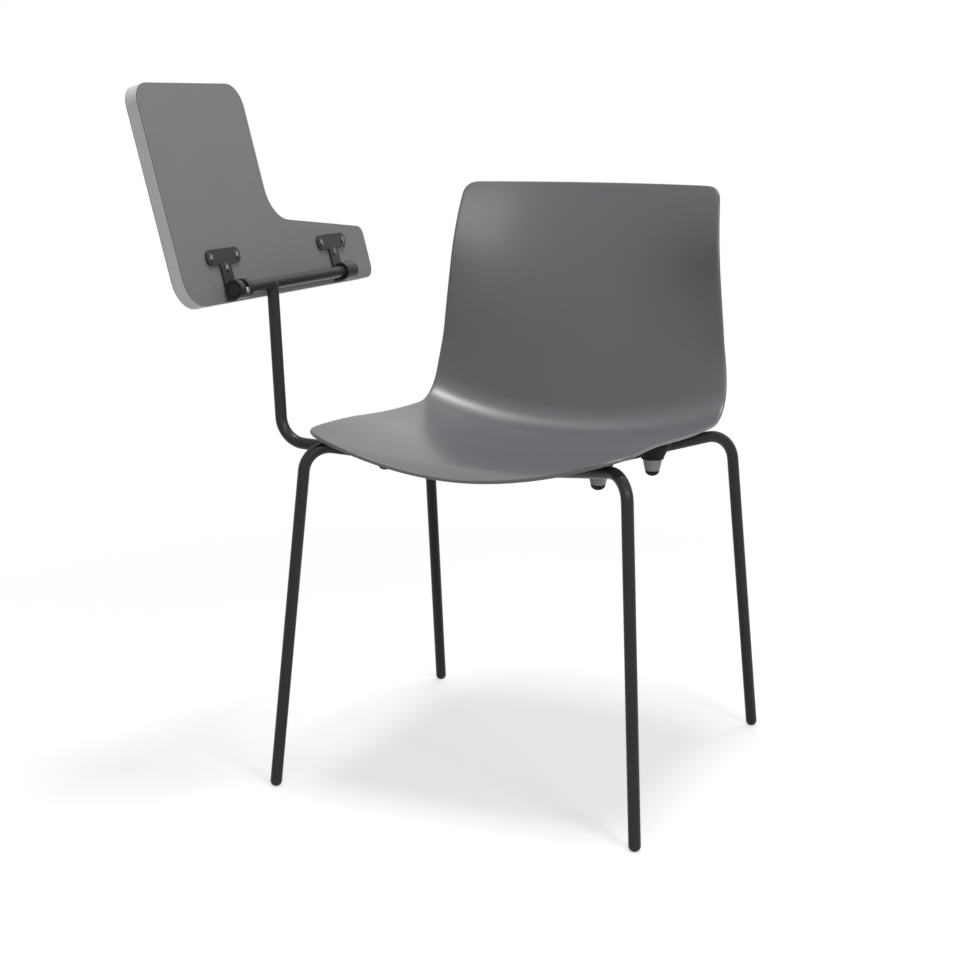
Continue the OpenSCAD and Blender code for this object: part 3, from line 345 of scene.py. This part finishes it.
# Shell: the CAD mesh's triangles back to its rows and columns, then smoothed twice
PAIR_ANGLE = radians(60)
bm = joined("seat_shell")
bmesh.ops.join_triangles(bm, faces=bm.faces, angle_face_threshold=PAIR_ANGLE,
                         angle_shape_threshold=PAIR_ANGLE)
shell = piece("moulded_shell", bm, "seat_shell", crease=pi)
smooth = shell.modifiers.new("smooth", "SUBSURF")
smooth.levels = SHELL_STEPS
smooth.render_levels = SHELL_STEPS

# Tubes: the CAD's round walls, shaded smooth through their bends
for tube in ("front_frame_tube", "rear_frame_tube", "tablet_post", "hinge_bar"):
    evened(piece(tube + "_smooth", joined(tube, TUBE_JOIN_MM), tube))

# Board: laminate faces with a light edge band round them, and the core inside
copied("writing_laminate")
copied("underside_laminate")
copied("edge_band")
copied("tablet_core")

for end in ENDS:
    copied("sleeve_" + end, ease_mm=1.0)
    copied("bush_" + end, ease_mm=0.2)
    copied("hinge_plate_" + end, ease_mm=0.5)
    copied("bar_plug_" + end, ease_mm=0.6)
    for side in SIDES:
        copied(f"tube_clip_{end}_{side}", ease_mm=0.6)
        copied(f"glide_{end}_{side}", ease_mm=0.3)
        copied(f"buffer_base_{end}_{side}")
        copied(f"buffer_cup_{end}_{side}", ease_mm=0.4)
        copied(f"buffer_tip_{end}_{side}")
copied("fixing_bosses")
copied("boss_inserts")
copied("strap_screws", ease_mm=0.3)
copied("buffer_screws", ease_mm=0.3)
copied("stop_screw", ease_mm=0.3)
copied("centre_strap", ease_mm=0.5)


# How squarely a recess's floor looks out, and how far at least it lies above the plate
FLOOR_FACING, ABOVE_PLATE = 0.5, 0.1


def in_recess(face, middle):
    """Whether a screw's face is the floor of its hexagon recess."""
    spot = face.calc_center_median() / MM - BAR_MIDDLE
    aside = Vector((spot.y - middle, spot.dot(TABLET_UP)))
    near = min((aside - Vector(place)).length for place in PLATE_SCREWS)
    flat = abs(face.normal.dot(TABLET_OUT)) > FLOOR_FACING
    return flat and near < HEX_R and spot.dot(TABLET_OUT) > PLATE_FACE + ABOVE_PLATE


# Plate screws: black domed heads, the floor of the recess bright
for end, middle in PLATE_MIDDLES.items():
    like = "plate_screws_" + end
    for part, bright in (("heads", False), ("recesses", True)):
        bm = flattened(like)
        others = [face for face in bm.faces if in_recess(face, middle) != bright]
        bmesh.ops.delete(bm, geom=others, context="FACES")
        piece(f"{like}_{part}", bm, like, ZINC if bright else BLACK_STEEL, stands_for=not bright)

# Welds: the post to the bar and to the seat's tube, the sleeves to their plates, the strap to
# the tubes
bm = bmesh.new()
up = (POST_TOP - POST_CORNER).normalized()
swept(bm, seam(POST_TOP, up, BAR_MIDDLE, ALONG), BEAD_R, middle=POST_TOP - TUBE_R * up)
piece("weld_post_to_bar", bm, "tablet_post", stands_for=False)
bm = bmesh.new()
run = (POST_END - POST_CORNER).normalized()
swept(bm, seam(POST_END, run, POST_END, SEAT_TUBE_RUN), BEAD_R, middle=POST_END - TUBE_R * run)
piece("weld_post_to_seat_tube", bm, "tablet_post", stands_for=False)
for end, middle in PLATE_MIDDLES.items():
    bm = bmesh.new()
    start = middle - STEM_HALF_W + SLEEVE_BEAD_IN
    stop = middle + STEM_HALF_W - SLEEVE_BEAD_IN
    for up in (-SLEEVE_BEAD_UP, SLEEVE_BEAD_UP):
        line = [on_tablet(start + (stop - start) * k / (PLATE_RINGS - 1), up,
                          PLATE_FACE + SLEEVE_BEAD_OUT) for k in range(PLATE_RINGS)]
        swept(bm, line, FINE_BEAD_R, side=TABLET_OUT)
    piece("weld_sleeve_to_plate_" + end, bm, "sleeve_" + end, stands_for=False)
bm = bmesh.new()
for middle, bend in STRAP_TUBES:
    for aside in (-STRAP_BEAD_ASIDE, STRAP_BEAD_ASIDE):
        line = [Vector((x, middle + aside + x * x / (2 * bend), STRAP_UNDERSIDE - STRAP_BEAD_DOWN))
                for x in STRAP_RINGS_X]
        swept(bm, line, BEAD_R, side=Vector((0, 0, 1)))
piece("weld_strap_to_tubes", bm, "centre_strap", stands_for=False)

# Camera
camera = bpy.data.objects.new("camera", bpy.data.cameras.new("camera"))
camera.data.lens = CAMERA_LENS
camera.data.sensor_width = 36
camera.data.clip_end = 60
camera.location = CAMERA_PLACE
camera.rotation_euler = (radians(90 - CAMERA_ELEVATION), 0, radians(CAMERA_AZIMUTH))
scene.collection.objects.link(camera)
scene.camera = camera

# Soft boxes that look at the chair's middle: name, place, size and power
CHAIR_MIDDLE = Vector((0, 0, 0.5))
LAMPS = (
    ("front", (1.0, -2.8, 1.9), 1.5, 25),
    ("side", (2.3, -1.6, 1.8), 0.8, 30),
    ("top", (0, 0, 3.4), 1.0, 72),
    ("rear", (0.3, 1.2, 3.0), 1.8, 8),
)
for name, place, size, watts in LAMPS:
    lamp = bpy.data.lights.new(name, "AREA")
    lamp.shape = "RECTANGLE"
    lamp.size = size
    lamp.size_y = size
    lamp.energy = watts
    made = bpy.data.objects.new(name, lamp)
    made.location = place
    made.rotation_euler = (CHAIR_MIDDLE - Vector(place)).to_track_quat("-Z", "Y").to_euler()
    scene.collection.objects.link(made)


def seen_rays(tree):
    """A socket that is 1 for rays that see the background: camera, glossy and transmission rays."""
    rays = add(tree, "ShaderNodeLightPath").outputs
    either = add(tree, "ShaderNodeMath", {0: rays["Is Camera Ray"], 1: rays["Is Glossy Ray"]},
                 operation="MAXIMUM")
    return add(tree, "ShaderNodeMath", {0: either.outputs[0], 1: rays["Is Transmission Ray"]},
               operation="MAXIMUM").outputs[0]


WHITE = (1, 1, 1, 1)

# World: a low even light, seen by the camera and in reflections as white
WORLD_LIGHT = 0.05
world = bpy.data.worlds.new("studio")
scene.world = world
world.use_nodes = True
tree = world.node_tree
tree.nodes.clear()
lit = add(tree, "ShaderNodeBackground", {"Color": WHITE, "Strength": WORLD_LIGHT})
backdrop = add(tree, "ShaderNodeBackground", {"Color": WHITE, "Strength": 1.0})
world_look = add(tree, "ShaderNodeMixShader",
                 {0: seen_rays(tree), 1: lit.outputs[0], 2: backdrop.outputs[0]})
add(tree, "ShaderNodeOutputWorld", {"Surface": world_look.outputs[0]})

# Floor: pale and lifted near the chair, where it keeps the soft shadows, and plain white from
# further off. Distances are in metres from the frame's origin
FLOOR_COLOUR = "c4c4c4"
FLOOR_LIFT = 0.6
FLOOR_NEAR, FLOOR_FAR = 0.6, 1.5
FLOOR_REACH = 15
FLOOR_DOWN_MM = 0.1
floor_finish, tree, out = material("pale_floor")
place = add(tree, "ShaderNodeNewGeometry").outputs["Position"]
away = add(tree, "ShaderNodeVectorMath", {0: place}, operation="LENGTH")
far = add(tree, "ShaderNodeMapRange",
          {"Value": away.outputs["Value"], "From Min": FLOOR_NEAR, "From Max": FLOOR_FAR})
seen = seen_rays(tree)
far_share = add(tree, "ShaderNodeMath", {0: seen, 1: far.outputs["Result"]}, operation="MULTIPLY")
lift = add(tree, "ShaderNodeMath", {0: seen, 1: FLOOR_LIFT}, operation="MULTIPLY")
diffuse = add(tree, "ShaderNodeBsdfDiffuse", {"Color": linear(FLOOR_COLOUR)})
glow = add(tree, "ShaderNodeEmission", {"Color": WHITE, "Strength": lift.outputs[0]})
lifted = add(tree, "ShaderNodeAddShader", {0: diffuse.outputs[0], 1: glow.outputs[0]})
plain = add(tree, "ShaderNodeEmission", {"Color": WHITE, "Strength": 1.0})
floor_look = add(tree, "ShaderNodeMixShader",
                 {0: far_share.outputs[0], 1: lifted.outputs[0], 2: plain.outputs[0]})
tree.links.new(floor_look.outputs[0], out.inputs["Surface"])
bm = bmesh.new()
bmesh.ops.create_grid(bm, x_segments=1, y_segments=1, size=FLOOR_REACH)
mesh = bpy.data.meshes.new("floor")
bm.to_mesh(mesh)
bm.free()
mesh.materials.append(floor_finish)
floor = bpy.data.objects.new("floor", mesh)
floor.location.z = -FLOOR_DOWN_MM * MM
scene.collection.objects.link(floor)

scene.view_settings.view_transform = "Standard"
